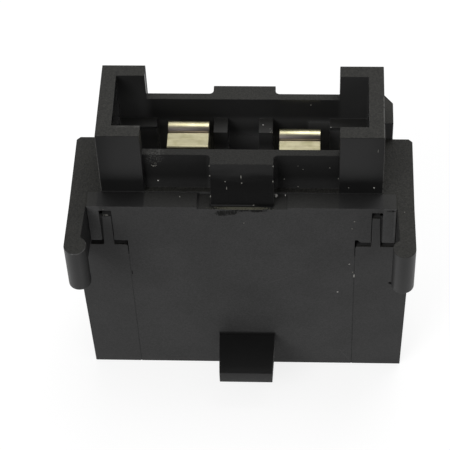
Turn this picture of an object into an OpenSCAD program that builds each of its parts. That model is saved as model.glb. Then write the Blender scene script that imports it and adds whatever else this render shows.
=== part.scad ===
// Blade fuse holder: a moulded housing with an open fuse pocket, a T-shaped front cover that slides
// down into it, and two folded spring contacts with blade tabs.
// Sizes are in millimetres. X runs along the fuse, -Y is the front and Z is up. The origin lies in the
// base plane, straight below the middle of the fuse pocket.

/* [Fuse pocket] */
// Length of the pocket along the fuse
pocket_l = 20; // [19:0.1:23]
// Width of the pocket across the fuse
pocket_w = 5.3; // [5:0.1:6.5]
// Height of the fuse seat above the flange
seat_h = 1.7; // [1:0.1:2.4]
// Width of the slot between the inner seats for the fuse blades
blade_slot_w = 2.1; // [1.8:0.1:2.8]
// Width of that slot between the outer seats
end_slot_w = 3.3; // [2.8:0.1:3.9]
// Length of that slot
blade_slot_l = 17; // [15.5:0.1:18.5]
// Depth of the contact cells and of the slot below the seat
cell_depth = 7.5; // [6:0.1:9]
// Width of each contact cell along the fuse
cell_w = 4.6; // [4.2:0.1:5.4]
// Distance between the middles of the two cells
cell_pitch = 9.4; // [9:0.1:10]
// Width of the open core between the two cells
core_w = 2.5; // [1.6:0.1:3]

/* [Tower] */
// Height of the tower above the flange
tower_h = 6.6; // [5.8:0.1:9]
// Thickness of the tower's end walls
end_wall_t = 1.25; // [1:0.05:1.6]
// Thickness of the posts across the fuse
post_t = 1.15; // [1:0.05:1.6]
// Length of each post along the fuse
post_l = 3.5; // [2.5:0.1:4.5]
// Depth of the notches between the posts
notch_h = 2.7; // [1.5:0.1:3]
// Thickness of the low walls between the posts
low_wall_t = 0.65; // [0.5:0.05:0.9]
// Width of the centre ribs
rib_w = 5; // [3.5:0.1:6.5]
// How far the ribs and the tongue lie to the right of the middle
centre_shift = 0.1; // [0:0.05:0.2]
// How far the rear rib stands out from the posts
rib_proud = 0.35; // [0.2:0.05:0.6]
// Radius of the fillets between the ribs and the low walls
rib_fillet = 0.35; // [0.15:0.05:0.45]
// How far the front rib, which is the cover's catch, stands out at its foot
catch_proud = 1.3; // [0.8:0.05:1.5]
// How far it stands out at its top
catch_top_proud = 0.45; // [0.2:0.05:0.7]
// How much each end of the tower leans in towards the top
tower_draft = 0.05; // [0:0.05:0.3]

/* [Body] */
// Height of the body up to the flange
body_h = 21.3; // [20:0.1:26]
// Width of the body at the flange
body_w = 27.4; // [27:0.1:30]
// How much each side of the body leans in towards the base
body_draft = 0.35; // [0:0.05:0.6]
// Distance from the tower's back to the back of the body
rear_ledge = 1.6; // [1.2:0.1:2.5]
// Depth of the narrower rear part of the body
rear_d = 3.4; // [2.5:0.1:4]
// How far each side of the rear part stands in from the flange
rear_step = 1.6; // [1.2:0.05:1.9]
// Height of the ear beside the tower's right end
ear_h = 1.9; // [1:0.1:3]
// Cut across the rear part's corners, measured along X
corner_cut_x = 0.9; // [0.4:0.1:1.2]
// Cut across the rear part's corners, measured along Y
corner_cut_y = 1.2; // [0.6:0.1:1.8]
// Cut across the flange's rear corners
flange_cut = 0.3; // [0.1:0.05:0.8]

/* [Terminal chambers] */
// Height of the chambers above the base
chamber_h = 13; // [12.5:0.1:14.5]
// Width of each chamber along the fuse
chamber_w = 8.3; // [7.8:0.1:8.6]
// Thickness of the wall between the chambers
partition_t = 1.4; // [1:0.1:2]
// Thickness of the back wall
back_wall_t = 1.8; // [1.4:0.1:2.4]
// Width of the hollow in each side wall
side_core_w = 1.3; // [0.8:0.1:1.6]
// Thickness of the outer skin beside that hollow
side_skin_t = 1.5; // [1.2:0.1:1.7]
// Depth of that hollow from the base
side_core_h = 14; // [8:0.5:15]

/* [Clip arms] */
// Reach of the arms in front of the cover
arm_reach = 4.85; // [3.5:0.05:7]
// Thickness of the arms
arm_t = 1.35; // [1:0.05:1.4]
// How much thinner the arms are beside the bead
arm_thin = 0.1; // [0:0.05:0.3]
// Height of the arms
arm_h = 4.6; // [3:0.1:5]
// How far each arm spreads outwards on its way to the bead
arm_splay = 0.05; // [0:0.05:0.4]
// Diameter of the bead at the end of each arm
bead_d = 1.8; // [1.5:0.05:2.2]

/* [Front cover] */
// Thickness of the cover
cover_t = 1.6; // [1.6:0.1:2.2]
// Height of the cover's wide head
head_h = 4.3; // [3.5:0.1:4.9]
// Gap left under the head
head_gap = 0.5; // [0.3:0.05:0.9]
// Radius of the housing's corners beside the stem, under that gap
shoulder_r = 0.3; // [0.1:0.05:0.4]
// Width of the cover's stem
stem_w = 18.4; // [18:0.1:19]
// How far the stem lies to the left of the middle
stem_shift = 0.1; // [0:0.05:0.2]
// Width of the nick under the head, in the corner on the stem's right
nick_w = 0.45; // [0.2:0.05:0.8]
// Height of that nick
nick_h = 0.3; // [0.1:0.05:0.6]
// Width of the hidden slide rail on each side of the stem
rail_w = 0.6; // [0.3:0.05:0.7]
// Thickness of that rail
rail_t = 0.8; // [0.6:0.05:1]
// Width of the two key ribs on the housing, at their tops
key_w = 0.75; // [0.6:0.05:1.1]
// How much narrower the right key rib and its slot are, on their outer side
key_slim = 0.12; // [0:0.02:0.2]
// How much wider each key rib is at its foot, on its outer side
key_flare = 0.1; // [0:0.05:0.2]
// Distance between the middles of the key ribs
key_pitch = 21.6; // [21.2:0.1:22.2]
// Height of the cover left above the key ribs
key_cap = 0.55; // [0.5:0.05:1.5]
// Gap between the foot of each key rib and the cover, on the rib's outer side
key_gap = 0.1; // [0.05:0.05:0.3]
// Gap over each key rib
key_rise = 0.65; // [0.1:0.05:0.8]
// Free space round the cover
cover_clear = 0.04; // [0.03:0.01:0.12]
// Width of the shallow seat for the catch in the cover's top edge
catch_seat_w = 7.2; // [6.8:0.1:9]
// Depth of that seat
catch_seat_h = 0.2; // [0.1:0.05:0.4]

/* [Tongue] */
// Width of the tongue at its root
tongue_w = 4.8; // [3:0.05:7]
// How much each side of the tongue leans in towards its end
tongue_taper = 0.15; // [0:0.05:0.5]
// Reach of the tongue in front of the cover
tongue_reach = 4.1; // [2:0.1:6]
// Thickness of the tongue
tongue_t = 1.5; // [1:0.1:2]
// Height of the tongue's top above the base
tongue_top = 4.35; // [3:0.05:6]
// Length of the slope on top of the tongue's end
tongue_lead = 0.7; // [0.3:0.05:1.2]
// Height of that slope
tongue_lead_h = 0.2; // [0.1:0.05:0.5]
// Radius of the fillet over the tongue's root
tongue_fillet = 0.2; // [0.1:0.05:0.6]

/* [Contacts] */
// Distance between the middles of the two contacts
contact_pitch = 8.9; // [8.7:0.1:9.8]
// Width of the spring leaves
leaf_w = 3.3; // [3:0.1:3.8]
// Thickness of the sheet
sheet_t = 0.4; // [0.3:0.05:0.5]
// Gap between the tops of the two leaves
leaf_gap = 0.05; // [0.05:0.05:0.4]
// Outer radius of the lip that is rolled over at the rear leaf's top
lip_r = 0.6; // [0.55:0.05:0.8]
// Height of the lower contact's lip above the flange
lip_top = 2.35; // [1.8:0.05:2.6]
// Length of the flap that is bent out at the front leaf's top
flap_l = 1.3; // [0.8:0.1:1.3]
// How much the flap rises towards its end
flap_rise = 0.05; // [0:0.05:0.3]
// How far the flap's root lies below the top of the lip
flap_drop = 0.25; // [0.2:0.05:0.6]
// Spread of the leaves above the tab, across the outside
leaf_spread = 2.8; // [2.4:0.1:3.2]
// Width of the blade tab
tab_w = 6.3; // [4.8:0.1:6.8]
// Distance from the base to the end of the lower contact's tab
tab_lift = 4.4; // [4.2:0.1:5]
// Diameter of the locking hole in the tab
tab_hole_d = 1.7; // [1.2:0.1:2]
// Distance from the tab's end to the middle of that hole
tab_hole_up = 3; // [2.5:0.1:3.6]
// How far a contact can slide up and down on its peg
contact_float = 0.85; // [0.2:0.05:0.9]
// Sideways play of a contact on its peg and in its neck, to each side
contact_play = 0.2; // [0.15:0.05:0.3]
// How far both contacts lie to the right within that play
contact_shift = 0.15; // [0:0.05:0.15]
// Free space in front of and behind the contacts, and above their tabs
contact_clear = 0.1; // [0.05:0.05:0.2]
// Width of the cover's locking pegs
peg_w = 1.8; // [1.2:0.1:2.4]
// Height of the cover's locking pegs
peg_h = 1.2; // [0.8:0.1:1.6]

/* [Hidden] */
$fn = 64;
// Overlap that joins or cuts cleanly
eps = 0.5;

// Tower and pocket
tower_l = pocket_l + 2 * end_wall_t;
tower_y = pocket_w / 2 + post_t;
wall_y = pocket_w / 2 + low_wall_t;
tower_top = body_h + tower_h;
notch_z = tower_top - notch_h;
catch_z = body_h - catch_seat_h + cover_clear;
seat_z = body_h + seat_h;
cell_floor = seat_z - cell_depth;

// Body
front_y = -tower_y - cover_t;
rear_y = tower_y + rear_ledge;
flange_y = rear_y - rear_d;
rear_x = body_w / 2 - rear_step;
chamber_back = rear_y - back_wall_t;
side_core_x = body_w / 2 - body_draft - side_skin_t - side_core_w;
arm_x = body_w / 2 - arm_t;
bead_y = front_y - arm_reach + bead_d / 2;
bead_x = body_w / 2 + arm_splay - bead_d / 2;

// Cover
head_bottom = body_h - head_h;
head_w = 2 * (arm_x - cover_clear);
shoulder_z = head_bottom - head_gap;
key_x = (key_pitch - key_w) / 2;
right_key_w = key_w - key_slim;
key_top = body_h - key_cap - key_rise;
rail_y = -tower_y - rail_t;
tongue_root = front_y + cover_t / 2;
tongue_end = front_y - tongue_reach;
tongue_low = tongue_top - tongue_t;

// Contacts
tab_t = 2 * sheet_t;
leaf_in = (leaf_gap + sheet_t) / 2;
leaf_out = (leaf_spread - sheet_t) / 2;
lip_z = body_h + lip_top - lip_r;
flap_z = body_h + lip_top - flap_drop - sheet_t / 2;
tab_top = chamber_h - contact_float - contact_clear;
window_w = peg_w + 2 * contact_play;
window_h = peg_h + contact_float;
window_bottom = tab_top - peg_h - 2 * contact_float;
peg_bottom = window_bottom + contact_float;
neck_l = leaf_w + 2 * contact_play;
neck_w = leaf_spread + 2 * contact_clear;

// A box between two corners
module box(from, to) {
    translate(from) cube(to - from);
}

// An outline in X and Z, drawn out along Y
module along_y(y0, y1) {
    translate([0, y1, 0]) rotate([90, 0, 0]) linear_extrude(y1 - y0) children();
}

// An outline in Y and Z, drawn out along X and centred on x = 0
module along_x(length) {
    translate([-length / 2, 0, 0]) rotate([90, 0, 90]) linear_extrude(length) children();
}

// The children and their mirror image in the plane x = 0
module both_ends() {
    children();
    mirror([1, 0, 0]) children();
}

// The children and their mirror image in the plane y = 0
module both_faces() {
    children();
    mirror([0, 1, 0]) children();
}

// A trapezium that stands on z0, with half widths given at its foot and its head
module trapezium(half_foot, half_head, z0, z1) {
    polygon([[-half_foot, z0], [half_foot, z0], [half_head, z1], [-half_head, z1]]);
}

// A plan whose two back corners are cut off
module cut_plan(half_w, y0, y1, cut_x, cut_y) {
    polygon([
        [-half_w, y0], [half_w, y0], [half_w, y1 - cut_y],
        [half_w - cut_x, y1], [cut_x - half_w, y1], [-half_w, y1 - cut_y],
    ]);
}

module rear_plan() {
    cut_plan(rear_x, flange_y - eps, rear_y, corner_cut_x, corner_cut_y);
}

// The body below the flange, with the ear that stands on its rear part
module body_block() {
    intersection() {
        along_y(front_y, flange_y) trapezium(body_w / 2 - body_draft, body_w / 2, 0, body_h);
        linear_extrude(body_h) cut_plan(body_w / 2, front_y, flange_y, flange_cut, flange_cut);
    }
    linear_extrude(body_h) rear_plan();
    intersection() {
        linear_extrude(body_h + ear_h) rear_plan();
        box([(tower_l - end_wall_t) / 2, flange_y, body_h - eps],
            [rear_x + eps, rear_y + eps, body_h + ear_h]);
    }
}

// The tower, with low walls set back between its corner posts and the cover's catch in front
module tower() {
    difference() {
        along_y(-tower_y, tower_y)
            trapezium(tower_l / 2, tower_l / 2 - tower_draft, body_h - eps, tower_top);
        both_faces() box([post_l - tower_l / 2, wall_y, body_h],
                         [tower_l / 2 - post_l, tower_y + eps, tower_top + eps]);
        box([post_l - tower_l / 2, -tower_y - eps, notch_z],
            [tower_l / 2 - post_l, tower_y + eps, tower_top + eps]);
    }
    translate([centre_shift, 0, 0]) {
        box([-rib_w / 2, 0, body_h - eps], [rib_w / 2, tower_y + rib_proud, notch_z]);
        along_x(rib_w) polygon([
            [0, catch_z], [-tower_y - catch_proud, catch_z], [-tower_y - catch_top_proud, notch_z],
            [0, notch_z],
        ]);
        both_ends() both_faces() rib_side_fillet();
    }
}

// The upright fillet in the corner between a rib and a low wall
module rib_side_fillet() {
    translate([rib_w / 2, wall_y, body_h - eps]) linear_extrude(notch_z - body_h + eps) difference() {
        translate([-rib_fillet, -rib_fillet]) square(2 * rib_fillet);
        translate([rib_fillet, rib_fillet]) circle(r = rib_fillet);
    }
}

// One spring arm with its bead, which runs on from the flange strip
module clip_arm() {
    translate([0, 0, body_h - arm_h]) linear_extrude(arm_h) {
        polygon([
            [arm_x, front_y + eps], [arm_x, front_y], [arm_x + arm_splay + arm_thin, bead_y],
            [body_w / 2 + arm_splay, bead_y], [body_w / 2, front_y], [body_w / 2, front_y + eps],
        ]);
        translate([bead_x, bead_y]) circle(d = bead_d);
    }
}

// The room for the fuse: the pocket, the slot for its blades, the cells and the core between them
module fuse_room() {
    box([-pocket_l / 2, -pocket_w / 2, seat_z], [pocket_l / 2, pocket_w / 2, tower_top + eps]);
    box([-blade_slot_l / 2, -blade_slot_w / 2, cell_floor],
        [blade_slot_l / 2, blade_slot_w / 2, seat_z + eps]);
    both_ends() box([cell_pitch / 2, -end_slot_w / 2, cell_floor],
                    [blade_slot_l / 2, end_slot_w / 2, seat_z + eps]);
    box([-core_w / 2, -pocket_w / 2, cell_floor], [core_w / 2, pocket_w / 2, seat_z + eps]);
    both_ends() box([(cell_pitch - cell_w) / 2, -pocket_w / 2, cell_floor],
                    [(cell_pitch + cell_w) / 2, pocket_w / 2, seat_z + eps]);
}

// One terminal chamber, open to the base and to the cover, with the neck that guides the contact
module terminal_chamber() {
    box([partition_t / 2, -tower_y - eps, -eps], [partition_t / 2 + chamber_w, chamber_back, chamber_h]);
    box([(contact_pitch - neck_l) / 2, -neck_w / 2, chamber_h - eps],
        [(contact_pitch + neck_l) / 2, neck_w / 2, cell_floor + eps]);
    box([side_core_x, -tower_y, -eps], [side_core_x + side_core_w, flange_y - side_skin_t, side_core_h]);
}

// The waste outside a rounded corner of the housing beside the stem
module shoulder_corner() {
    along_y(front_y - eps, -tower_y) translate([stem_w / 2 + cover_clear, shoulder_z]) difference() {
        translate([-shoulder_r, -shoulder_r]) square(2 * shoulder_r);
        translate([shoulder_r, -shoulder_r]) circle(r = shoulder_r);
    }
}

// A key rib of a given width at its top, whose outer side leans in towards the top
module key_rib(width) {
    foot_x = key_x + width + key_flare;
    along_y(front_y, -tower_y + eps) polygon([
        [key_x, shoulder_z - eps], [foot_x, shoulder_z - eps], [foot_x, shoulder_z],
        [key_x + width, key_top], [key_x, key_top],
    ]);
}

// The front of the housing, cut away for the cover. The key ribs are left standing.
module cover_room() {
    translate([-stem_shift, 0, 0]) {
        box([-stem_w / 2 - cover_clear, front_y - eps, -eps],
            [stem_w / 2 + cover_clear, -tower_y, body_h + eps]);
        box([-stem_w / 2 - rail_w - cover_clear, rail_y - cover_clear, -eps],
            [stem_w / 2 + rail_w + cover_clear, -tower_y, body_h + eps]);
        both_ends() shoulder_corner();
    }
    difference() {
        box([-arm_x, front_y - eps, shoulder_z], [arm_x, -tower_y, body_h + eps]);
        mirror([1, 0, 0]) key_rib(key_w);
        key_rib(right_key_w);
    }
}

module housing() {
    color([0.09, 0.09, 0.085]) {
        difference() {
            union() {
                difference() {
                    body_block();
                    cover_room();
                }
                tower();
            }
            fuse_room();
            both_ends() terminal_chamber();
        }
        both_ends() clip_arm();
    }
}

// The slot in the cover's head that drops over a key rib of a given width
module key_slot(width) {
    box([key_x - cover_clear, front_y - eps, head_bottom - eps],
        [key_x + width + key_flare + key_gap, -tower_y + eps, key_top + key_rise]);
}

// The nick in the corner between the stem's right side and the head, as deep as the rail's face
module corner_nick() {
    translate([stem_w / 2 - stem_shift, 0, head_bottom]) along_y(front_y - eps, rail_y)
        polygon([[0, -eps], [nick_w, -eps], [nick_w, 0], [nick_w / 2, nick_h], [0, nick_h]]);
}

// The tongue in section, with a slope on top of its end and a fillet over its root
module tongue_section() {
    polygon([
        [tongue_root, tongue_low], [tongue_end, tongue_low], [tongue_end, tongue_top - tongue_lead_h],
        [tongue_end + tongue_lead, tongue_top], [tongue_root, tongue_top],
    ]);
    translate([front_y - tongue_fillet, tongue_top + tongue_fillet]) difference() {
        translate([0, -2 * tongue_fillet]) square([tongue_fillet + cover_t / 2, 2 * tongue_fillet]);
        circle(r = tongue_fillet);
    }
}

// The tongue in front of the cover, which narrows towards its end
module tongue() {
    half_end = tongue_w / 2 - tongue_taper;
    intersection() {
        along_x(tongue_w) tongue_section();
        linear_extrude(body_h) polygon([
            [-half_end, tongue_end], [half_end, tongue_end], [tongue_w / 2, front_y],
            [tongue_w / 2, tongue_root], [-tongue_w / 2, tongue_root], [-tongue_w / 2, front_y],
        ]);
    }
}

module front_cover() {
    color([0.1, 0.1, 0.1]) {
        difference() {
            union() {
                translate([-stem_shift, 0, 0]) {
                    box([-stem_w / 2, front_y, 0], [stem_w / 2, -tower_y - cover_clear, body_h]);
                    box([-stem_w / 2 - rail_w, rail_y, 0],
                        [stem_w / 2 + rail_w, -tower_y - cover_clear, head_bottom + eps]);
                }
                box([-head_w / 2, front_y, head_bottom], [head_w / 2, -tower_y - cover_clear, body_h]);
            }
            mirror([1, 0, 0]) key_slot(key_w);
            key_slot(right_key_w);
            corner_nick();
            translate([centre_shift, 0, 0]) box([-catch_seat_w / 2, front_y - eps, body_h - catch_seat_h],
                                                [catch_seat_w / 2, -tower_y + eps, body_h + eps]);
        }
        translate([centre_shift, 0, 0]) tongue();
        both_ends() translate([contact_pitch / 2, 0, 0])
            box([-peg_w / 2, -tower_y - cover_t / 2, peg_bottom], [peg_w / 2, tab_t, peg_bottom + peg_h]);
    }
}

// A strip of sheet that follows a line of points, round at each bend
module strip(points) {
    for (i = [1:len(points) - 1]) {
        step = points[i] - points[i - 1];
        translate(points[i - 1]) rotate(atan2(step.y, step.x)) translate([0, -sheet_t / 2])
            square([norm(step), sheet_t]);
        translate(points[i]) circle(d = sheet_t);
    }
}

// Points along a spring leaf in section: up from the tab, out, up and in again to a given height
function leaf_points(top_z) = [
    [sheet_t / 2, tab_top - eps], [sheet_t / 2, tab_top], [leaf_out, tab_top + leaf_out - sheet_t / 2],
    [leaf_out, cell_floor], [leaf_in, top_z],
];

// The rear leaf in section, with its rolled lip
module rear_leaf() {
    strip(leaf_points(lip_z));
    translate([leaf_in - sheet_t / 2 + lip_r, lip_z]) difference() {
        circle(r = lip_r);
        circle(r = lip_r - sheet_t);
        translate([-lip_r, -2 * lip_r]) square([2 * lip_r, 2 * lip_r]);
    }
}

// The front leaf in section, facing backwards, with its flap
module front_leaf() {
    strip(concat(leaf_points(flap_z), [[leaf_in + flap_l, flap_z + flap_rise]]));
}

// The doubled blade tab, with its lead-in corners, locking hole and the window for the peg
module tab_outline() {
    lead = tab_t;
    difference() {
        polygon([
            [-tab_w / 2 + lead, tab_lift], [tab_w / 2 - lead, tab_lift], [tab_w / 2, tab_lift + 2 * lead],
            [tab_w / 2, tab_top], [-tab_w / 2, tab_top], [-tab_w / 2, tab_lift + 2 * lead],
        ]);
        translate([0, tab_lift + tab_hole_up]) circle(d = tab_hole_d);
        translate([-window_w / 2, window_bottom]) square([window_w, window_h]);
    }
}

// A contact at its lower stop
module contact() {
    color([0.78, 0.72, 0.5]) {
        along_y(-tab_t / 2, tab_t / 2) tab_outline();
        along_x(leaf_w) rear_leaf();
        mirror([0, 1, 0]) along_x(leaf_w) front_leaf();
    }
}

// The left contact is pushed up to the top of its play
module contact_left() {
    translate([contact_shift - contact_pitch / 2, 0, contact_float]) contact();
}

// The right contact hangs on its peg at the bottom of its play
module contact_right() {
    translate([contact_shift + contact_pitch / 2, 0, 0]) contact();
}

housing();
front_cover();
contact_left();
contact_right();
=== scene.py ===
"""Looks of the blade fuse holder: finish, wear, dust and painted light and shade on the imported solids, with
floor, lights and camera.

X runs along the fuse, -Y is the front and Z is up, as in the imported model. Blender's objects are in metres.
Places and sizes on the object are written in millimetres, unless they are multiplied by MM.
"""
from collections import namedtuple
import math
import random

import bmesh
import bpy
from mathutils import Matrix, Quaternion, Vector


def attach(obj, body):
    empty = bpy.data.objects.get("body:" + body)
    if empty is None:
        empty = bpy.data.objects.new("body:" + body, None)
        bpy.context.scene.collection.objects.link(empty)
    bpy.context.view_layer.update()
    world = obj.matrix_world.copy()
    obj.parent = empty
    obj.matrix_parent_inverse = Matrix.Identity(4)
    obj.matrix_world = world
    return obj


MM = 0.001
RIGHT, BACK, UP = Vector((1, 0, 0)), Vector((0, 1, 0)), Vector((0, 0, 1))

# Camera, fitted to edges measured in the photograph
CAMERA_PLACE = Vector((6.21, -98.51, 134.33)) * MM
CAMERA_AIM = Vector((-1.31, -5.6, 19.37)) * MM
CAMERA_ROLL = math.radians(-3.04)
CAMERA_LENS = 148.2
CAMERA_SENSOR = 36
CAMERA_NEAR = 5 * MM

# Stage: the floor's half side in metres, its grey, and how much it glows where it is seen or mirrored
FLOOR_HALF = 1.5
FLOOR_GREY = 0.25
FLOOR_GLOW = 0.8
# Strength of the surroundings where they light the object, and where they are seen or mirrored
ROOM_LIGHT = 0.5
ROOM_WHITE = 1.0
# Dark card: half width, then y and z of the lines at which it bends
CARD_HALF_WIDTH = 60
CARD_BENDS = [(-32, 0.5), (-45, 0.5), (-45, 80), (-8, 120)]
CARD_GREY = 0.03
# Square soft boxes: name, place in metres, side in metres and power in watts
LAMPS = [
    ("key", (0.04, 0.1, 0.28), 0.16, 0.32),
    ("fill", (-0.16, -0.2, 0.2), 0.16, 0.36),
]

# Heights on the object
TONGUE_TOP = 4.35
POLISH_BOTTOM = 13.5
HEAD_BOTTOM = 17.0
KEY_TOP = 20.1
CATCH_SEAT = 21.1
BODY_TOP = 21.3
SEAT_TOP = 23.0
WALL_TOP = 25.2
POST_TOP = 27.9
# Places along the fuse
TONGUE_HALF_WIDTH = 2.4
CATCH_MIDDLE = 0.1
CATCH_HALF_WIDTH = 2.5
OUTER_SEATS = 5.2
LOW_WALL_HALF_LENGTH = 7.75
POCKET_HALF_LENGTH = 10.0
TOWER_HALF_LENGTH = 11.25
HEAD_HALF_LENGTH = 12.31
STEM_SEAMS = (-9.32, 9.12)
HEAD_SEAMS = (-12.33, 12.33)
# Gaps beside the key ribs: x at the bottom and at the top
KEY_GAPS = [(-11.33, -11.28), (11.21, 11.16)]
# Places across the fuse
POCKET_HALF_WIDTH = 2.65
WALL_FRONT = -3.3
POST_FRONT = -3.8
PLATE_FRONT = -5.4
TONGUE_END = -9.5
# Y and z of the foot and the head of the catch's slanting face
CATCH_FOOT = (-5.1, 21.14)
CATCH_HEAD = (-4.25, 25.2)
# The rounded ends of the arms
BEAD_X = 12.85
BEAD_Y = -9.35
BEAD_RADIUS = 0.9

# Rounding of moulded and stamped edges, and the angles and reach that it works with
PLASTIC_EDGE = 0.05 * MM
METAL_EDGE = 0.04 * MM
EDGE_SEGMENTS = 3
SHARP_ANGLE = math.radians(35)
FLAT_ANGLE = math.radians(0.5)
WELD_REACH = 0.001 * MM

# Dust on upright faces that look to the front: y of the face, then x, z, width and height of each speck
FRONT_DUST = {
    WALL_FRONT: [
        (3.4, 22.4, 0.1, 0.1), (4.5, 21.5, 0.12, 0.1), (4.9, 23.6, 0.08, 0.08), (7.0, 23.8, 0.08, 0.08),
        (7.7, 22.5, 0.12, 0.08), (4.5, 24.0, 0.07, 0.07),
    ],
    POST_FRONT: [(8.5, 22.0, 0.1, 0.1), (10.7, 26.4, 0.05, 0.4)],
    POCKET_HALF_WIDTH: [(5.45, 24.6, 0.1, 0.1)],
    PLATE_FRONT: [
        (0.2, 19.4, 0.09, 0.09), (9.0, 19.7, 0.16, 0.08), (8.85, 18.8, 0.14, 0.08), (9.0, 13.1, 0.08, 0.14),
        (-10.98, 20.97, 0.1, 0.06),
    ],
}
# The same for the specks that are bright
BRIGHT_FRONT_DUST = {
    WALL_FRONT: [(-6.65, 22.1, 0.15, 0.15)],
    POST_FRONT: [(10.5, 22.0, 0.13, 0.13)],
    PLATE_FRONT: [(7.8, 10.4, 0.16, 0.16), (8.7, 14.2, 0.15, 0.11), (9.12, 12.6, 0.12, 0.4)],
}
# Dust on level faces: z of the face, then x, y, width and depth of each speck
LEVEL_DUST = {
    BODY_TOP: [(-4.9, -4.3, 0.1, 0.1), (12.9, -5.7, 0.1, 0.1)],
    KEY_TOP: [(-10.85, -5.3, 0.5, 0.05)],
    SEAT_TOP: [
        (2.2, 1.1, 0.1, 0.1), (2.17, 1.47, 0.07, 0.07), (2.36, 1.09, 0.08, 0.08), (2.3, 1.3, 0.06, 0.06),
    ],
}
# The same for the specks that are bright
BRIGHT_LEVEL_DUST = {
    CATCH_SEAT: [(2.75, -3.94, 0.26, 0.4), (3.5, -3.86, 0.1, 0.25)],
    SEAT_TOP: [(1.6, 1.9, 0.12, 0.12), (7.08, 1.7, 0.1, 0.1)],
}
# Thickness of a speck on each side of its face
SPECK_THICKNESS = 0.05
# Nicks in the catch's slanting face: x, z, width and height of each, and their thickness
CATCH_NICKS = [
    (0.05, 24.0, 0.08, 0.4), (0.1, 23.4, 0.12, 0.14), (-1.1, 22.9, 0.07, 0.35), (-1.2, 23.55, 0.1, 0.12),
    (-2.4, 25.05, 0.1, 0.16), (-2.4, 24.1, 0.1, 0.14), (-2.4, 22.1, 0.1, 0.2), (2.58, 25.05, 0.1, 0.16),
    (2.55, 23.6, 0.1, 0.2), (1.0, 21.25, 0.14, 0.1),
]
NICK_THICKNESS = 0.03
# Fluff on the left low wall: its middle, its spread along x and z, its flecks and their half sizes
FLUFF_X = -6.8
FLUFF_Z = 24.0
FLUFF_SPREAD = (0.13, 0.12)
FLUFF_COUNT = 14
FLUFF_SIZES = (0.02, 0.05)
# Burr at the foot of the right bead: its height on the bead, and its half sizes along x, z and y
BURR_Z = 16.88
BURR_HALF = (0.16, 0.09, 0.1)
# Share of its size at which each point of a lump may lie
LUMP_RANGE = (0.7, 1.15)
# Packed dust: width, depth, length of a step, and how far it lies under the faces beside it
SEAM_WIDTH = 0.15
SEAM_DEPTH = 0.2
SEAM_STEP = 0.15
SEAM_SINK = 0.003
# Its unevenness: how much deeper a step may lie, and the share of its width that a step may have
SEAM_DIP = 0.01
SEAM_RANGE = (0.8, 1.2)
# Z of the ends of the dust beside the stem, then the dust in the key gaps and at the head's ends
STEM_DUST_ENDS = (0.1, 15.2)
KEY_DUST_WIDTH = 0.2
KEY_DUST_SINK = 0.12
HEAD_DUST_INSET = 0.02

# Marks on the cover's front: x, z, half width and half height of each. The mark at the head's right end is
# painted shade in a small notch.
SCRAPED_BAND = (0, 21.2, 2.6, 0.14)
SCRAPE_MARKS_AND_NOTCH_SHADE = [
    (-1.5, 20.62, 0.52, 0.34), (-0.85, 20.7, 0.55, 0.28), (-0.15, 20.98, 0.5, 0.18), (0.5, 21.02, 0.5, 0.15),
    (1.3, 20.96, 0.75, 0.2), (11.85, 21.02, 0.3, 0.1), (-9.25, 12.8, 0.08, 0.3),
]
# Slanting scuffs there: x and z of a point, rise for each step to the right, and half height
LOWER_SCUFF = (8.03, 2.14, -1.8, 0.08)
UPPER_SCUFF = (1.5, 11.2, 0.55, 0.05)

# Plastic: gloss, then the sizes of its clouds, speckles and grain, and the depth of the grain
PLASTIC_SPECULAR = 0.28
CLOUD_SIZE = 4
SPECKLE_SIZE = 0.14
GRAIN_SIZE = 0.12
GRAIN_DEPTH = 0.02 * MM
# Plating, where it is whole and where it is worn, and the tarnish on the inside of a lip
PLATING_LIGHT = (0.54, 0.5, 0.33, 1)
PLATING_DARK = (0.44, 0.41, 0.25, 1)
TARNISH = (0.3, 0.26, 0.25, 1)
DRAWING_LINE_DEPTH = 0.004 * MM
# Dirt: level and warmth of the light and the dark grey of each kind
DIRT_GREYS = {
    "dust_grey": ((0.3, 0.1), (0.14, 0.1)),
    "burr_black": ((0.016, 0), (0.01, 0)),
    "dust_pale": ((0.6, 0.06), (0.3, 0.06)),
    "seam_grey": ((0.066, 0), (0.046, 0)),
    "slot_grey": ((0.05, 0), (0.03, 0)),
    "ledge_grey": ((0.034, 0.1), (0.026, 0.1)),
}

# The z of a normal from which a face starts to count as level, and from which it does
LEVEL_FROM = 0.5
LEVEL_AT = 0.8
# Sockets of a mix node for numbers and for colours: mask, low, high and result
MIX_SOCKETS = {"FLOAT": (0, 2, 3, 0), "RGBA": (0, 6, 7, 2)}

# A zone of the finish or of painted light and shade: the function that gives its mask, its base colour,
# roughness and strength of grain
Zone = namedtuple("Zone", "area colour rough grain")

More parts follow.
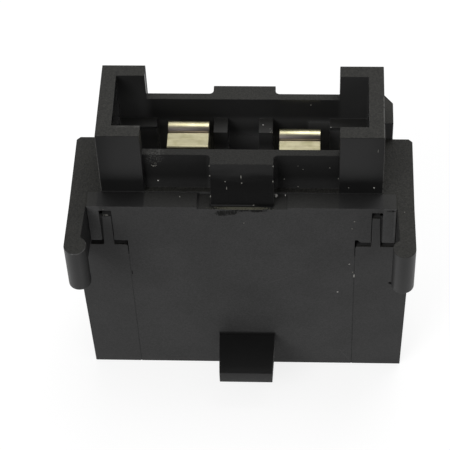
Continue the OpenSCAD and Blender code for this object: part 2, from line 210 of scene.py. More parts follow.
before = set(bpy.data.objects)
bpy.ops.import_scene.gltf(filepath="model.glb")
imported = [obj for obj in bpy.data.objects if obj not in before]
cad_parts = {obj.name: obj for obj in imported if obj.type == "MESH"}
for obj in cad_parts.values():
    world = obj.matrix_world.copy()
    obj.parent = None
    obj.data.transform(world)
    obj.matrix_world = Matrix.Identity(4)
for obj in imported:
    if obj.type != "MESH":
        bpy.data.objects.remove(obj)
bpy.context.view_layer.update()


class Shader:
    """One material, with short calls that add its nodes. Places are in millimetres."""

    def __init__(self, name):
        self.material = bpy.data.materials.new(name)
        self.material.use_nodes = True
        self.tree = self.material.node_tree
        self.surface = self.tree.nodes["Principled BSDF"]
        self.place = self.scaled(self.node("ShaderNodeTexCoord").outputs["Object"], 1 / MM)
        self.x, self.y, self.z = self.split(self.place)
        normal = self.node("ShaderNodeNewGeometry").outputs["Normal"]
        self.normal_x, self.normal_y, self.normal_z = self.split(normal)

    def node(self, kind, **settings):
        node = self.tree.nodes.new(kind)
        for name, value in settings.items():
            setattr(node, name, value)
        return node

    def fill(self, socket, value):
        """Links a socket to another, or sets it to a value."""
        if isinstance(value, bpy.types.NodeSocket):
            self.tree.links.new(value, socket)
        else:
            socket.default_value = value

    def set(self, name, value):
        """Links or sets a socket of the principled shader."""
        self.fill(self.surface.inputs[name], value)

    def split(self, vector):
        node = self.node("ShaderNodeSeparateXYZ")
        self.fill(node.inputs[0], vector)
        return node.outputs[0], node.outputs[1], node.outputs[2]

    def math(self, operation, *values):
        node = self.node("ShaderNodeMath", operation=operation)
        for socket, value in zip(node.inputs, values):
            self.fill(socket, value)
        return node.outputs[0]

    def step(self, value, low, high):
        """A smooth step from 0 at low to 1 at high. Low may be the greater one."""
        node = self.node("ShaderNodeMapRange", interpolation_type="SMOOTHSTEP")
        for socket, number in zip(node.inputs, (value, low, high, 0.0, 1.0)):
            self.fill(socket, number)
        return node.outputs[0]

    def above(self, value, level, soft=0.1):
        """1 where a value is over the level."""
        return self.step(value, level - soft / 2, level + soft / 2)

    def below(self, value, level, soft=0.1):
        """1 where a value is under the level."""
        return self.step(value, level + soft / 2, level - soft / 2)

    def away(self, value, middle=0.0):
        """The distance of a value from a middle."""
        return self.math("ABSOLUTE", self.math("SUBTRACT", value, middle))

    def within(self, value, middle, half, soft=0.1):
        """1 where a value lies within half of the middle."""
        return self.below(self.away(value, middle), half, soft)

    def both(self, *masks):
        """1 where all of the masks are."""
        total = masks[0]
        for mask in masks[1:]:
            total = self.math("MULTIPLY", total, mask)
        return total

    def either(self, *masks):
        """1 where any of the masks is."""
        total = masks[0]
        for mask in masks[1:]:
            total = self.math("MAXIMUM", total, mask)
        return total

    def mix(self, kind, *values):
        node = self.node("ShaderNodeMix", data_type=kind)
        *inputs, result = MIX_SOCKETS[kind]
        for index, value in zip(inputs, values):
            self.fill(node.inputs[index], value)
        return node.outputs[result]

    def blend(self, mask, low, high):
        """A number that goes from low, where the mask is 0, to high, where it is 1."""
        return self.mix("FLOAT", mask, low, high)

    def tint(self, mask, low, high):
        """A colour that goes from low, where the mask is 0, to high, where it is 1."""
        return self.mix("RGBA", mask, low, high)

    def scaled(self, vector, factor):
        """A place or a colour times a number."""
        node = self.node("ShaderNodeVectorMath", operation="SCALE")
        self.fill(node.inputs["Vector"], vector)
        self.fill(node.inputs["Scale"], factor)
        return node.outputs["Vector"]

    def noise(self, size, detail=2.0, stretch=(1, 1, 1), seed=0.0):
        """Noise with features of about that size, stretched along the axes."""
        mapping = self.node("ShaderNodeMapping")
        self.fill(mapping.inputs["Vector"], self.place)
        mapping.inputs["Location"].default_value = (seed, seed, seed)
        mapping.inputs["Scale"].default_value = [1 / s for s in stretch]
        node = self.node("ShaderNodeTexNoise")
        self.fill(node.inputs["Vector"], mapping.outputs[0])
        node.inputs["Scale"].default_value = 1 / size
        node.inputs["Detail"].default_value = detail
        return node.outputs[0]

    def bump(self, height, depth, strength):
        """Bump of a height from 0 to 1 that stands for that depth, in metres."""
        node = self.node("ShaderNodeBump")
        self.fill(node.inputs["Height"], height)
        self.fill(node.inputs["Strength"], strength)
        node.inputs["Distance"].default_value = depth
        self.set("Normal", node.outputs[0])


def grey(level, warmth=0.0):
    """A grey base colour. Warmth takes that share of its blue away, and an eighth of it from the green."""
    return (level, level * (1 - warmth / 8), level * (1 - warmth), 1)


def black_plastic(name, zones):
    """Moulded black plastic. Each zone, of the mould's finish or of painted light and shade, lies over the
    zones before it.
    """
    shader = Shader(name)
    ground = zones[0]
    colour, rough, coarse = ground.colour, ground.rough, ground.grain
    for zone in zones[1:]:
        mask = zone.area(shader)
        colour = shader.tint(mask, colour, zone.colour)
        rough = shader.blend(mask, rough, zone.rough)
        coarse = shader.blend(mask, coarse, zone.grain)
    cloud = shader.step(shader.noise(CLOUD_SIZE, detail=3), 0.35, 0.65)
    grain = shader.noise(GRAIN_SIZE)
    speckle = shader.math("SUBTRACT", shader.noise(SPECKLE_SIZE, seed=1.7), 0.5)
    colour = shader.scaled(colour, shader.blend(cloud, 0.93, 1.06))
    colour = shader.scaled(colour, shader.math("MULTIPLY_ADD", speckle, coarse, 1.0))
    shader.set("Base Color", colour)
    shader.set("Roughness", shader.math("ADD", rough, shader.blend(grain, -0.05, 0.05)))
    shader.set("Specular IOR Level", PLASTIC_SPECULAR)
    shader.bump(grain, GRAIN_DEPTH, coarse)
    return shader.material


def facing_up(shader):
    return shader.step(shader.normal_z, LEVEL_FROM, LEVEL_AT)


def upright(shader):
    return shader.step(shader.normal_z, LEVEL_AT, LEVEL_FROM)


def left_half(shader):
    return shader.below(shader.x, -0.5, soft=1)


def right_half(shader):
    return shader.above(shader.x, 0.5, soft=1)


def tower_sides(shader):
    """The tower's upright faces, outside and inside."""
    over_body = shader.above(shader.z, BODY_TOP, soft=0.2)
    return shader.both(upright(shader), over_body, shader.within(shader.x, 0, TOWER_HALF_LENGTH + 0.05))


def low_walls(shader):
    """The outer faces of the low walls between the posts."""
    outer = shader.within(shader.away(shader.y), -WALL_FRONT, 0.3)
    return shader.both(tower_sides(shader), outer, shader.within(shader.x, 0, LOW_WALL_HALF_LENGTH))


def low_wall_feet(shader):
    """The foot of those faces, painted lighter as light in the shade there."""
    return shader.both(low_walls(shader), shader.below(shader.z, BODY_TOP + 1, soft=1.2))


# The upper band of those faces, painted lighter as light.
def low_wall_heads(shader):
    return shader.both(low_walls(shader), shader.above(shader.z, WALL_TOP - 0.85, soft=0.9))


def low_wall_height(shader):
    """All that is no higher than the low walls and no further forward than the posts."""
    return shader.both(shader.below(shader.z, WALL_TOP + 0.15), shader.above(shader.y, POST_FRONT - 0.15))


def front_wall_tops(shader):
    """The tops of the front low walls and of the catch, painted darker as shade."""
    at_top = shader.within(shader.z, WALL_TOP, 0.1)
    ahead = shader.below(shader.y, -POCKET_HALF_WIDTH + 0.15, soft=0.2)
    return shader.both(facing_up(shader), at_top, ahead)


def dusty_wall(shader):
    """Dust on the left low wall, round the fluff and on its top."""
    spots = shader.step(shader.noise(0.12, detail=3, seed=8.8), 0.48, 0.62)
    ahead = shader.below(shader.y, -POCKET_HALF_WIDTH + 0.05)
    beside = shader.within(shader.x, FLUFF_X, 0.6, soft=0.9)
    over = shader.above(shader.z, FLUFF_Z + 0.25, soft=0.7)
    return shader.both(spots, ahead, beside, over, low_wall_height(shader))


def left_arm_top(shader):
    """The top of the left arm, painted darker than the right one's as shade."""
    ahead = shader.below(shader.y, PLATE_FRONT, soft=2)
    return shader.both(facing_up(shader), ahead, left_half(shader))


def left_arm_inside(shader):
    """The left arm's inner side, with its bead, painted dark as shade."""
    inner = shader.step(shader.normal_x, 0.3, 0.8)
    return shader.both(shader.below(shader.y, PLATE_FRONT - 0.05), left_half(shader), inner)


def right_arm_inside(shader):
    """The right arm's inner side, with its bead, painted dark as shade."""
    inner = shader.step(shader.normal_x, -0.75, -0.95)
    return shader.both(shader.below(shader.y, PLATE_FRONT - 0.05), right_half(shader), inner)


def beads(shader):
    """The rounded ends of the arms, which are smooth."""
    return shader.both(upright(shader), shader.below(shader.y, BEAD_Y + 0.6, soft=0.2))


def left_bead_rim(shader):
    """The worn rim of the left bead's top."""
    patchy = shader.step(shader.noise(0.4, seed=2.9), 0.35, 0.6)
    at_top = shader.above(shader.z, BODY_TOP - 0.11, soft=0.04)
    rounded = shader.step(shader.normal_z, 0.98, 0.9)
    ahead = shader.below(shader.y, BEAD_Y + 0.45, soft=0.3)
    return shader.both(patchy, at_top, rounded, ahead, left_half(shader))


def ear(shader):
    """The ear beside the tower's right end, painted lighter as light in the tower's shade."""
    beside = shader.above(shader.x, TOWER_HALF_LENGTH + 0.1)
    return shader.both(beside, shader.above(shader.z, BODY_TOP + 0.1, soft=0.2))


# Its upright faces, painted lighter still as light in that shade.
def ear_sides(shader):
    return shader.both(ear(shader), upright(shader))


def catch_face(shader):
    """The slanting face of the front rib."""
    ahead = shader.below(shader.y, CATCH_HEAD[0] + 0.1, soft=0.2)
    across = shader.within(shader.x, CATCH_MIDDLE, CATCH_HALF_WIDTH)
    return shader.both(upright(shader), ahead, across, shader.above(shader.z, CATCH_SEAT - 0.05))


def catch_head(shader):
    """A lighter band along the top of that face, with a ragged lower edge."""
    edge = shader.blend(shader.noise(0.6, stretch=(6, 1, 1), seed=6.3), WALL_TOP - 1.8, WALL_TOP - 0.2)
    height = shader.math("SUBTRACT", shader.z, edge)
    return shader.both(catch_face(shader), shader.above(height, 0, soft=1.4))


def catch_foot(shader):
    """The light line along its foot, which fades out to the right."""
    line = shader.within(shader.z, CATCH_FOOT[1] + 0.08, 0.06, soft=0.04)
    return shader.both(catch_face(shader), line, shader.below(shader.x, 1, soft=0.8))


def seat_tops(shader):
    """The fuse's seats in the pocket."""
    return shader.both(facing_up(shader), shader.within(shader.z, SEAT_TOP, 0.1))


def pocket_inside(shader):
    """The upright faces inside the fuse pocket, which are polished."""
    length = shader.within(shader.x, 0, POCKET_HALF_LENGTH + 0.1)
    width = shader.within(shader.y, 0, POCKET_HALF_WIDTH + 0.1)
    return shader.both(upright(shader), length, width, shader.above(shader.z, POLISH_BOTTOM, soft=1))


def pocket_right_end(shader):
    return shader.both(pocket_inside(shader), shader.above(shader.x, LOW_WALL_HALF_LENGTH, soft=0.5))


def pocket_left_end(shader):
    """The lower part of the pocket's left end, painted lighter as light in its shade."""
    end = shader.below(shader.x, -LOW_WALL_HALF_LENGTH + 0.05, soft=1)
    return shader.both(pocket_inside(shader), end, shader.below(shader.z, WALL_TOP + 0.25, soft=4.1))


# The faces between the seats, painted lighter as light in their shade.
def pocket_between_seats(shader):
    return shader.both(pocket_inside(shader), shader.below(shader.z, SEAT_TOP, soft=0.8))


def pocket_under_seats(shader):
    """The faces under the outer seats, painted lighter still as light in their shade."""
    beside = shader.above(shader.away(shader.x), OUTER_SEATS, soft=0.4)
    return shader.both(pocket_inside(shader), beside, shader.below(shader.z, SEAT_TOP - 0.3, soft=0.4))


def pocket_depth(shader):
    """The lowest faces in the pocket, painted lightest as light in the deepest shade."""
    return shader.both(pocket_inside(shader), shader.below(shader.z, SEAT_TOP - 1.9, soft=1.4))


def left_post_rim(shader):
    """The worn inner edge of the left front post's top."""
    patchy = shader.step(shader.noise(0.25, stretch=(2, 1, 1), seed=4.4), 0.3, 0.55)
    from_front = shader.above(shader.y, -POCKET_HALF_WIDTH - 0.2, soft=0.2)
    to_pocket = shader.below(shader.y, -POCKET_HALF_WIDTH + 0.075, soft=0.05)
    from_end = shader.above(shader.x, -POCKET_HALF_LENGTH + 0.05, soft=0.3)
    to_wall = shader.below(shader.x, -LOW_WALL_HALF_LENGTH + 0.1)
    at_top = shader.above(shader.z, POST_TOP - 0.125, soft=0.05)
    return shader.both(patchy, from_front, to_pocket, from_end, to_wall, at_top)


def worn_and_highlit_top_edge(shader):
    """The tower's right top edge, along its front half."""
    end = shader.above(shader.x, TOWER_HALF_LENGTH - 0.13, soft=0.08)
    at_top = shader.above(shader.z, POST_TOP - 0.1)
    to_back = shader.below(shader.y, 0.5, soft=0.4)
    return shader.both(end, at_top, to_back, shader.above(shader.y, POST_FRONT + 0.05, soft=0.3))


def worn_and_highlit_corners(shader):
    """The tower's two front corners."""
    end = shader.above(shader.away(shader.x), TOWER_HALF_LENGTH - 0.075, soft=0.05)
    ahead = shader.below(shader.y, POST_FRONT + 0.045, soft=0.03)
    over_body = shader.above(shader.z, BODY_TOP + 0.05)
    return shader.both(end, ahead, over_body, shader.within(shader.x, 0, TOWER_HALF_LENGTH + 0.1))


def worn_and_highlit_edges(shader):
    """The edges of the tower that are rubbed light and painted as highlights, in patches."""
    patchy = shader.step(shader.noise(0.3, seed=5.2), 0.3, 0.5)
    return shader.both(shader.either(worn_and_highlit_top_edge(shader), worn_and_highlit_corners(shader)), patchy)


def gap_inside(shader):
    """The faces inside the gaps between the cover's head and the housing, which get their own grey."""
    behind = shader.above(shader.y, PLATE_FRONT + 0.15)
    before = shader.below(shader.y, POST_FRONT + 0.15)
    under = shader.below(shader.z, BODY_TOP - 0.45)
    return shader.both(behind, before, under, shader.within(shader.x, 0, HEAD_HALF_LENGTH + 0.1))


def head_ends(shader):
    """The ends of the cover's head beside the key slots, where its front is painted lighter as light in the
    arms' shade.
    """
    beside = shader.above(shader.away(shader.x), TOWER_HALF_LENGTH + 0.05)
    return shader.both(upright(shader), beside, shader.below(shader.y, PLATE_FRONT + 0.15))


def head_edge(shader):
    """The right edge of that front, rubbed light and painted as a highlight."""
    edge = shader.above(shader.x, HEAD_HALF_LENGTH - 0.19, soft=0.06)
    return shader.both(head_ends(shader), edge, shader.above(shader.z, HEAD_BOTTOM + 0.65, soft=0.7))


def tongue_top(shader):
    """The top of the cover's tongue, painted dark as shade."""
    return shader.both(facing_up(shader), shader.below(shader.z, TONGUE_TOP + 1.15, soft=1))


def tongue_root(shader):
    """The fillet over the tongue, painted dark as the shade in that crease."""
    near = shader.within(shader.y, PLATE_FRONT, 0.25)
    across = shader.within(shader.x, CATCH_MIDDLE, TONGUE_HALF_WIDTH, soft=0.2)
    under = shader.below(shader.z, TONGUE_TOP + 0.175, soft=0.35)
    return shader.both(near, across, under, shader.above(shader.z, TONGUE_TOP - 0.05))


def tongue_end(shader):
    """The tongue's blunt end, painted darker towards its upper edge, as the shade a rounded edge would have.
    """
    ahead = shader.below(shader.y, TONGUE_END + 0.25)
    return shader.both(ahead, upright(shader), shader.above(shader.z, TONGUE_TOP - 0.85, soft=1.3))


def ledge(shader, low, high):
    """A stretch of the cover's top edge."""
    stretch = shader.both(shader.above(shader.x, low, soft=0.2), shader.below(shader.x, high, soft=0.2))
    return shader.both(facing_up(shader), stretch, shader.above(shader.z, BODY_TOP - 0.45))


# The cover's top edge under the left post, painted dark as the post's shadow.
def left_ledge_shadow(shader):
    return ledge(shader, -TOWER_HALF_LENGTH - 0.25, -LOW_WALL_HALF_LENGTH)


# The same under the right post, painted as a lighter shadow.
def right_ledge_shadow(shader):
    return ledge(shader, LOW_WALL_HALF_LENGTH, TOWER_HALF_LENGTH)


def catch_shade(shader):
    """The strip of the cover's top edge in front of the catch, painted dark as the shadow in the gap under the
    catch's foot.
    """
    stretch = ledge(shader, CATCH_MIDDLE - CATCH_HALF_WIDTH - 0.1, CATCH_MIDDLE + CATCH_HALF_WIDTH)
    return shader.both(stretch, shader.below(shader.y, CATCH_FOOT[0] + 0.25))


def blot(shader, x, z, half_width, half_height, seed):
    """A ragged spot on the cover's front."""
    across = shader.math("DIVIDE", shader.math("SUBTRACT", shader.x, x), half_width)
    up = shader.math("DIVIDE", shader.math("SUBTRACT", shader.z, z), half_height)
    square = shader.math("ADD", shader.math("MULTIPLY", across, across), shader.math("MULTIPLY", up, up))
    ragged = shader.blend(shader.noise(0.12, seed=seed), -0.6, 0.6)
    distance = shader.math("ADD", shader.math("SQRT", square), ragged)
    return shader.both(shader.below(distance, 1, soft=0.4), shader.below(shader.y, PLATE_FRONT + 0.25))


def scraped_band(shader):
    """The band under the catch, where it scraped the cover's top edge."""
    return blot(shader, *SCRAPED_BAND, seed=8.1)


def scrape_marks_and_notch_shade(shader):
    """Dark ragged marks under that band, one at the head's right end, which is painted shade in a small notch,
    and one at the stem's left seam.
    """
    marks = [blot(shader, *place, seed=index) for index, place in enumerate(SCRAPE_MARKS_AND_NOTCH_SHADE)]
    streaks = shader.step(shader.noise(0.12, stretch=(1, 1, 6), seed=9.4), 0.3, 0.55)
    return shader.both(shader.either(*marks), shader.blend(streaks, 0.45, 1.0))


def slanting_line(shader, x, z, rise, half):
    """A line through a point, with its rise for each step to the right."""
    fall = shader.math("MULTIPLY", shader.math("SUBTRACT", shader.x, x), -rise)
    return shader.within(shader.math("ADD", fall, shader.z), z, half)


def lower_scuff(shader):
    """A faint slanting scuff at the foot of the cover's front."""
    return shader.both(slanting_line(shader, *LOWER_SCUFF), shader.below(shader.z, 2.15, soft=0.3))


def upper_scuff(shader):
    """A fainter one across its middle."""
    ends = shader.both(shader.above(shader.x, 1.75, soft=0.9), shader.below(shader.x, 5.75, soft=1.5))
    return shader.both(slanting_line(shader, *UPPER_SCUFF), ends)


HOUSING_ZONES = [
    Zone(None, grey(0.049), 0.7, 0.6),
    # Level faces: painted shade, a darker grey than the upright faces, which offsets the strong light from
    # above
    Zone(facing_up, grey(0.0172, 0.14), 0.7, 2.4),
    Zone(front_wall_tops, grey(0.0098, 0.14), 0.7, 2.4),
    Zone(left_arm_top, grey(0.0128, 0.14), 0.7, 2.4),
    Zone(seat_tops, grey(0.022, 0.06), 0.6, 0.3),
    Zone(tower_sides, grey(0.011), 0.38, 0.1),
    Zone(low_walls, grey(0.009), 0.75, 0.3),
    Zone(low_wall_heads, grey(0.012), 0.75, 0.3),
    Zone(low_wall_feet, grey(0.021), 0.7, 0.5),
    Zone(catch_face, grey(0.005), 0.35, 0.2),
    Zone(catch_head, grey(0.022), 0.5, 0.4),
    Zone(catch_foot, grey(0.035), 0.7, 0.1),
    Zone(pocket_inside, grey(0.021), 0.12, 0.03),
    Zone(pocket_right_end, grey(0.036), 0.12, 0.03),
    Zone(pocket_left_end, grey(0.07), 0.2, 0.03),
    Zone(pocket_between_seats, grey(0.042), 0.2, 0.03),
    Zone(pocket_under_seats, grey(0.08), 0.3, 0.03),
    Zone(pocket_depth, grey(0.14), 0.3, 0.03),
    Zone(ear, grey(0.023, 0.14), 0.7, 1.1),
    Zone(ear_sides, grey(0.08), 0.7, 0.5),
    Zone(beads, grey(0.03), 0.45, 0.3),
    Zone(left_bead_rim, grey(0.11), 0.6, 0.3),
    Zone(left_post_rim, grey(0.036, 0.1), 0.6, 0.6),
    Zone(dusty_wall, grey(0.06, 0.06), 0.9, 0.6),
    Zone(left_arm_inside, grey(0.012), 0.6, 0.2),
    Zone(right_arm_inside, grey(0.02), 0.6, 0.2),
    Zone(gap_inside, grey(0.035), 0.9, 0.2),
    Zone(worn_and_highlit_edges, grey(0.08, 0.06), 0.6, 0.2),
]
COVER_ZONES = [
    Zone(None, grey(0.05), 0.7, 0.7),
    # Level faces: painted shade, a darker grey than the upright faces, which offsets the strong light from
    # above
    Zone(facing_up, grey(0.023, 0.06), 0.7, 0.6),
    Zone(left_ledge_shadow, grey(0.008), 0.6, 0.3),
    Zone(right_ledge_shadow, grey(0.016), 0.6, 0.3),
    Zone(catch_shade, grey(0.006), 0.8, 0.3),
    Zone(tongue_top, grey(0.0055), 0.65, 0.3),
    Zone(tongue_root, grey(0.003), 0.95, 0.3),
    Zone(tongue_end, grey(0.03), 0.7, 0.5),
    Zone(gap_inside, grey(0.035), 0.9, 0.2),
    Zone(head_ends, grey(0.074), 0.7, 0.6),
    Zone(head_edge, grey(0.1), 0.7, 0.6),
    Zone(lower_scuff, grey(0.064), 0.7, 0.3),
    Zone(upper_scuff, grey(0.058), 0.7, 0.6),
    Zone(scrape_marks_and_notch_shade, grey(0.003, 0.2), 0.8, 0.3),
    Zone(scraped_band, grey(0.08, 0.3), 0.7, 0.3),
]


def plated_metal(name):
    """Stamped brass with a worn bright plating and fine drawing lines."""
    shader = Shader(name)
    lines = shader.noise(0.06, detail=3, stretch=(12, 1, 1))
    bands = shader.step(shader.noise(0.3, detail=3, stretch=(8, 1, 1), seed=7.7), 0.35, 0.65)
    patches = shader.step(shader.noise(0.9, detail=3, seed=3.1), 0.4, 0.65)
    lip_inside = shader.both(shader.step(shader.y, 0.0, 0.03), shader.step(shader.normal_y, -0.2, -0.8))
    flap = shader.both(shader.below(shader.y, -0.2, soft=0.2), shader.step(shader.normal_z, 0.5, 0.9))
    colour = shader.tint(patches, PLATING_LIGHT, PLATING_DARK)
    colour = shader.scaled(colour, shader.blend(bands, 0.88, 1.12))
    colour = shader.scaled(colour, shader.blend(flap, 1.0, 0.62))
    shader.set("Base Color", shader.tint(lip_inside, colour, TARNISH))
    shader.set("Metallic", 1.0)
    shader.set("Roughness", shader.blend(lines, 0.34, 0.42))
    shader.bump(lines, DRAWING_LINE_DEPTH, 0.2)
    return shader.material


def dirt_material(name):
    """Dull dirt, mottled between two greys."""
    shader = Shader(name)
    light, dark = DIRT_GREYS[name]
    mottle = shader.step(shader.noise(0.08, seed=2.3), 0.3, 0.7)
    shader.set("Base Color", shader.tint(mottle, grey(*dark), grey(*light)))
    shader.set("Roughness", 1.0)
    shader.set("Specular IOR Level", 0.1)
    return shader.material


def smooth_shading():
    """A node group that shades every face of a mesh smooth."""
    group = bpy.data.node_groups.new("smooth_shading", "GeometryNodeTree")
    group.interface.new_socket("Geometry", in_out="INPUT", socket_type="NodeSocketGeometry")
    group.interface.new_socket("Geometry", in_out="OUTPUT", socket_type="NodeSocketGeometry")
    start = group.nodes.new("NodeGroupInput")
    smooth = group.nodes.new("GeometryNodeSetShadeSmooth")
    end = group.nodes.new("NodeGroupOutput")
    group.links.new(start.outputs[0], smooth.inputs[0])
    group.links.new(smooth.outputs[0], end.inputs[0])
    return group


def soften_edges(piece, width, shading):
    """Rounds the sharp edges of a piece, with its flat faces kept flat."""
    weld = piece.modifiers.new("weld", "WELD")
    weld.merge_threshold = WELD_REACH
    flat = piece.modifiers.new("flat_faces", "DECIMATE")
    flat.decimate_type = "DISSOLVE"
    flat.angle_limit = FLAT_ANGLE
    edge = piece.modifiers.new("edges", "BEVEL")
    edge.width = width
    edge.segments = EDGE_SEGMENTS
    edge.limit_method = "ANGLE"
    edge.angle_limit = SHARP_ANGLE
    edge.miter_outer = "MITER_ARC"
    edge.use_clamp_overlap = False
    slivers = piece.modifiers.new("slivers", "WELD")
    slivers.merge_threshold = WELD_REACH
    smooth = piece.modifiers.new("smooth", "NODES")
    smooth.node_group = shading
    normals = piece.modifiers.new("normals", "WEIGHTED_NORMAL")
    normals.keep_sharp = False


def dress(node, material, edge, shading):
    """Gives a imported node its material, slot and soft edges."""
    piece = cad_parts[node]
    piece.data.materials.clear()
    piece.data.materials.append(material)
    soften_edges(piece, edge, shading)


class Crumbs:
    """Small closed lumps and strips of dirt, gathered into one piece. Places are in millimetres."""

    def __init__(self, seed):
        self.mesh = bmesh.new()
        self.chance = random.Random(seed)

    def add(self, place, across, up, thickness=SPECK_THICKNESS):
        """A ragged lump on a face, with the face's own two directions times its half sizes."""
        out = across.cross(up).normalized() * thickness
        turn = Matrix((across, up, out)).transposed().to_4x4()
        where = Matrix.Translation(Vector(place)) @ turn
        lump = bmesh.ops.create_icosphere(self.mesh, subdivisions=2, radius=1)
        for vert in lump["verts"]:
            vert.co = where @ (vert.co * self.chance.uniform(*LUMP_RANGE)) * MM

    def add_on_fronts(self, faces):
        for y, specks in faces.items():
            for x, z, width, height in specks:
                self.add((x, y, z), RIGHT * width / 2, UP * height / 2)

    def add_on_levels(self, faces):
        for z, specks in faces.items():
            for x, y, width, depth in specks:
                self.add((x, y, z), RIGHT * width / 2, BACK * depth / 2)

    def fill_seam(self, start, end, inwards, width=SEAM_WIDTH):
        """A strip of packed dust in a seam, along a line just under the faces beside it."""
        start = Vector(start)
        line = Vector(end) - start
        side = line.cross(inwards).normalized()
        depth = inwards * SEAM_DEPTH
        count = max(2, round(line.length / SEAM_STEP))
        rings = []
        for index in range(count + 1):
            middle = start + line * index / count + inwards * self.chance.uniform(0.0, SEAM_DIP)
            half = side * width / 2 * self.chance.uniform(*SEAM_RANGE)
            corners = (middle - half, middle + half, middle + half + depth, middle - half + depth)
            rings.append([self.mesh.verts.new(corner * MM) for corner in corners])
        self.skin(rings)

    def skin(self, rings):
        """Faces from each ring of four corners to the next, with both ends closed."""
        for ring, following in zip(rings, rings[1:]):
            for index in range(4):
                after = (index + 1) % 4
                self.mesh.faces.new((ring[index], ring[after], following[after], following[index]))
        self.mesh.faces.new(rings[0][::-1])
        self.mesh.faces.new(rings[-1])

    def piece(self, name, material, slot):
        """Puts the dirt into the scene as one piece on the root body."""
        bmesh.ops.recalc_face_normals(self.mesh, faces=self.mesh.faces)
        data = bpy.data.meshes.new(name)
        self.mesh.to_mesh(data)
        self.mesh.free()
        data.materials.append(material)
        piece = bpy.data.objects.new(name, data)
        bpy.context.scene.collection.objects.link(piece)
        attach(piece, "root")


def add_nicks(specks):
    """Nicks in the catch's slanting face."""
    foot, head = Vector((0, *CATCH_FOOT)), Vector((0, *CATCH_HEAD))
    slant = (head - foot).normalized()
    for x, z, width, height in CATCH_NICKS:
        share = (z - CATCH_FOOT[1]) / (CATCH_HEAD[1] - CATCH_FOOT[1])
        place = (x, foot.lerp(head, share).y, z)
        specks.add(place, RIGHT * width / 2, slant * height / 2, NICK_THICKNESS)


def add_fluff(specks):
    """A tangle of small flecks on the left low wall."""
    spread_x, spread_z = FLUFF_SPREAD
    for _ in range(FLUFF_COUNT):
        x = FLUFF_X + specks.chance.gauss(0, spread_x)
        z = FLUFF_Z + specks.chance.gauss(0, spread_z)
        size = specks.chance.uniform(*FLUFF_SIZES)
        specks.add((x, WALL_FRONT, z), RIGHT * size, UP * size)


def scatter_dust():
    """Dust specks, nicks and fluff, where the faces carry them."""
    specks = Crumbs(seed=4)
    specks.add_on_fronts(FRONT_DUST)
    specks.add_on_levels(LEVEL_DUST)
    add_nicks(specks)
    add_fluff(specks)
    specks.piece("dust_specks", dirt_material("dust_grey"), "housing_plastic")


def leave_burr():
    """A burr at the foot of the right bead, on its inner side."""
    across, up, thickness = BURR_HALF
    burr = Crumbs(seed=9)
    burr.add((BEAD_X - BEAD_RADIUS - across / 2, BEAD_Y, BURR_Z), RIGHT * across, UP * up, thickness)
    burr.piece("bead_burr", dirt_material("burr_black"), "housing_plastic")


def scatter_bright_dust():
    bright = Crumbs(seed=7)
    bright.add_on_fronts(BRIGHT_FRONT_DUST)
    bright.add_on_levels(BRIGHT_LEVEL_DUST)
    bright.piece("bright_specks", dirt_material("dust_pale"), "housing_plastic")


def fill_stem_seams():
    """Packed dust in the seams beside the cover's stem."""
    front = PLATE_FRONT + SEAM_SINK
    bottom, top = STEM_DUST_ENDS
    stem = Crumbs(seed=2)
    for x in STEM_SEAMS:
        stem.fill_seam((x, front, bottom), (x, front, top), BACK)
    stem.piece("stem_dust", dirt_material("seam_grey"), "cover_plastic")


def fill_key_gaps():
    """Packed dust in the gaps beside the key ribs."""
    front = PLATE_FRONT + KEY_DUST_SINK
    keys = Crumbs(seed=5)
    for low, high in KEY_GAPS:
        keys.fill_seam((low, front, HEAD_BOTTOM), (high, front, KEY_TOP), BACK, KEY_DUST_WIDTH)
    keys.piece("key_dust", dirt_material("slot_grey"), "cover_plastic")


def fill_head_seams():
    """Packed dust in the seams round the ends of the cover's head, seen from above."""
    top = BODY_TOP - SEAM_SINK
    front = PLATE_FRONT + HEAD_DUST_INSET
    back = POST_FRONT - HEAD_DUST_INSET
    head = Crumbs(seed=3)
    for x in HEAD_SEAMS:
        inner = math.copysign(TOWER_HALF_LENGTH + HEAD_DUST_INSET, x)
        head.fill_seam((x, front, top), (x, back, top), -UP)
        head.fill_seam((x, back, top), (inner, back, top), -UP)
    head.piece("head_dust", dirt_material("ledge_grey"), "housing_plastic")


def make_camera():
    data = bpy.data.cameras.new("camera")
    data.lens = CAMERA_LENS
    data.sensor_width = CAMERA_SENSOR
    data.clip_start = CAMERA_NEAR
    camera = bpy.data.objects.new("camera", data)
    camera.location = CAMERA_PLACE
    camera.rotation_mode = "QUATERNION"
    aim = (CAMERA_AIM - CAMERA_PLACE).to_track_quat("-Z", "Y")
    camera.rotation_quaternion = aim @ Quaternion((0, 0, 1), CAMERA_ROLL)
    bpy.context.scene.collection.objects.link(camera)
    bpy.context.scene.camera = camera


def stage_material(name, level, rough):
    """A plain grey material for the stage."""
    material = bpy.data.materials.new(name)
    material.use_nodes = True
    surface = material.node_tree.nodes["Principled BSDF"]
    surface.inputs["Base Color"].default_value = grey(level)
    surface.inputs["Roughness"].default_value = rough
    return material, surface


def sheet(name, points, faces, material):
    """A thin sheet for the stage."""
    mesh = bpy.data.meshes.new(name)
    mesh.from_pydata(points, [], faces)
    mesh.materials.append(material)
    piece = bpy.data.objects.new(name, mesh)
    bpy.context.scene.collection.objects.link(piece)
    return piece


def seen_or_mirrored(tree):
    """A socket that is 1 for rays from the camera and for rays that a glossy or clear surface sends on."""
    path = tree.nodes.new("ShaderNodeLightPath")
    total = path.outputs["Is Camera Ray"]
    for name in ("Is Glossy Ray", "Is Transmission Ray"):
        node = tree.nodes.new("ShaderNodeMath")
        node.operation = "MAXIMUM"
        tree.links.new(total, node.inputs[0])
        tree.links.new(path.outputs[name], node.inputs[1])
        total = node.outputs[0]
    return total


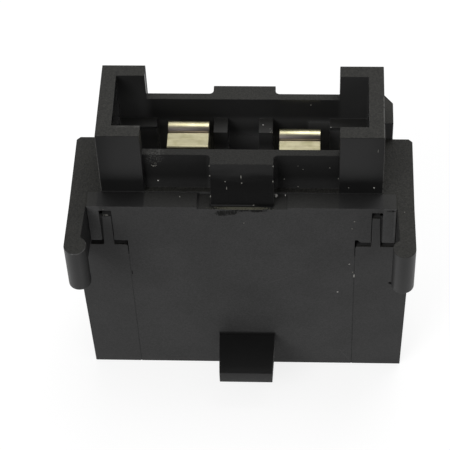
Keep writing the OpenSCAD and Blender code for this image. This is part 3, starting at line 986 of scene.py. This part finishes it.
def make_floor():
    """A wide white floor that keeps the object's soft shadow."""
    material, surface = stage_material("floor_white", FLOOR_GREY, 1.0)
    surface.inputs["Specular IOR Level"].default_value = 0.0
    surface.inputs["Emission Color"].default_value = (1, 1, 1, 1)
    tree = material.node_tree
    glow = tree.nodes.new("ShaderNodeMath")
    glow.operation = "MULTIPLY"
    tree.links.new(seen_or_mirrored(tree), glow.inputs[0])
    glow.inputs[1].default_value = FLOOR_GLOW
    tree.links.new(glow.outputs[0], surface.inputs["Emission Strength"])
    half = FLOOR_HALF
    corners = [(-half, -half, 0), (half, -half, 0), (half, half, 0), (-half, half, 0)]
    floor = sheet("floor", corners, [(0, 1, 2, 3)], material)


def make_world():
    """White surroundings, at full strength where they are seen or mirrored and weaker as a light."""
    world = bpy.data.worlds.new("white_room")
    bpy.context.scene.world = world
    world.use_nodes = True
    tree = world.node_tree
    back = tree.nodes["Background"]
    back.inputs["Color"].default_value = (1, 1, 1, 1)
    level = tree.nodes.new("ShaderNodeMapRange")
    tree.links.new(seen_or_mirrored(tree), level.inputs["Value"])
    level.inputs["To Min"].default_value = ROOM_LIGHT
    level.inputs["To Max"].default_value = ROOM_WHITE
    tree.links.new(level.outputs[0], back.inputs["Strength"])


def make_dark_card():
    """A dark card before the object, which only shows where polished faces and metal mirror it."""
    points = [Vector((side * CARD_HALF_WIDTH, y, z)) * MM for y, z in CARD_BENDS for side in (-1, 1)]
    material, _ = stage_material("card_black", CARD_GREY, 0.9)
    card = sheet("dark_card", points, [(0, 1, 3, 2), (2, 3, 5, 4), (4, 5, 7, 6)], material)
    card.visible_camera = False
    card.visible_diffuse = False
    card.visible_shadow = False


def make_lamp(name, place, size, power):
    """A square soft box that faces the point at which the camera aims."""
    data = bpy.data.lights.new(name, "AREA")
    data.size = size
    data.energy = power
    lamp = bpy.data.objects.new(name, data)
    lamp.location = place
    lamp.rotation_mode = "QUATERNION"
    lamp.rotation_quaternion = (CAMERA_AIM - Vector(place)).to_track_quat("-Z", "Y")
    bpy.context.scene.collection.objects.link(lamp)


def make_stage():
    bpy.context.scene.view_settings.view_transform = "Standard"
    make_camera()
    make_floor()
    make_world()
    make_dark_card()
    for lamp in LAMPS:
        make_lamp(*lamp)


def dress_solids():
    """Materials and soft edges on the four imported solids."""
    shading = smooth_shading()
    dress("housing", black_plastic("housing_black", HOUSING_ZONES), PLASTIC_EDGE, shading)
    dress("front_cover", black_plastic("cover_black", COVER_ZONES), PLASTIC_EDGE, shading)
    metal = plated_metal("plated_brass")
    for side in ("left", "right"):
        dress("contact_" + side, metal, METAL_EDGE, shading)


def add_dirt():
    scatter_dust()
    leave_burr()
    scatter_bright_dust()
    fill_stem_seams()
    fill_key_gaps()
    fill_head_seams()


make_stage()
dress_solids()
add_dirt()
